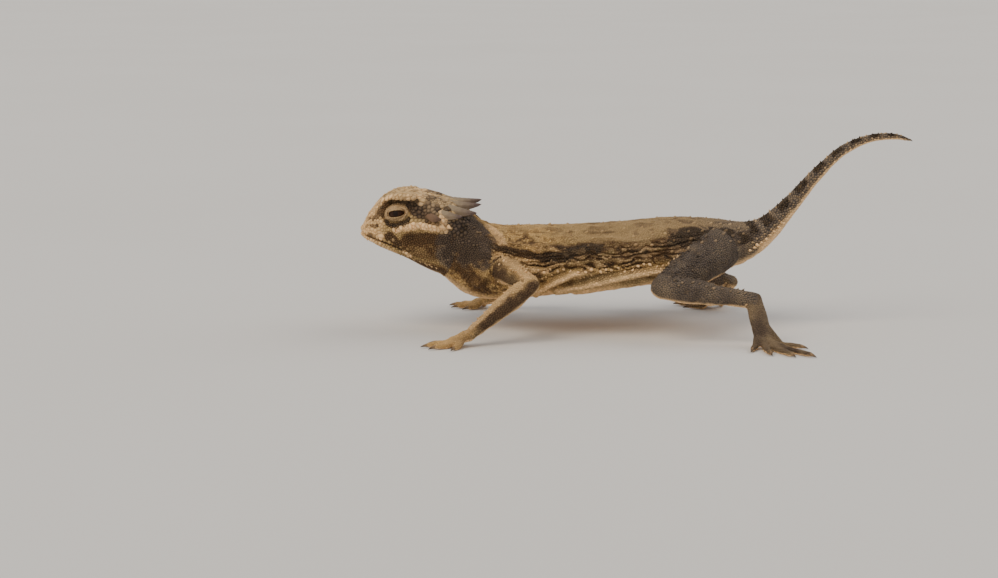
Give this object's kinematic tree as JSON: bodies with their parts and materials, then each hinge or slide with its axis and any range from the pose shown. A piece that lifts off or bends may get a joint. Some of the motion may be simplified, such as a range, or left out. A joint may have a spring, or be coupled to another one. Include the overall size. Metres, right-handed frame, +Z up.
{
  "type": "horned lizard",
  "caption": "Life-size still model of a young horned lizard standing on all four feet, head and tail raised, with horns and spiny scales.",
  "frame": {"origin": "middle of the footprint, at the floor under the soles", "axes": "+X from the head to the tail, +Z up, -Y the animal's left side"},
  "size_m": [0.0613, 0.0384, 0.0218],
  "materials": {
    "skin": "dry matt scales, olive tan with darker blotches",
    "horn": "satin horn with a darker tip",
    "eye": "wet, glossy and dark"
  },
  "bodies": {
    "root": {"head": "skin", "neck": "skin", "torso": "skin", "tail_base": "skin", "tail_middle": "skin", "tail_tip": "skin", "upper_arm_left": "skin", "upper_arm_right": "skin", "forearm_left": "skin", "forearm_right": "skin", "hand_left": "skin", "hand_right": "skin", "thigh_left": "skin", "thigh_right": "skin", "shin_left": "skin", "shin_right": "skin", "foot_left": "skin", "foot_right": "skin", "eye_left": "eye", "eye_right": "eye", "horn_occipital_left": "horn", "horn_occipital_right": "horn", "horn_temporal_1_left": "horn", "horn_temporal_1_right": "horn", "horn_temporal_2_left": "horn", "horn_temporal_2_right": "horn", "horn_temporal_3_left": "horn", "horn_temporal_3_right": "horn"}
  },
  "joints": []
}
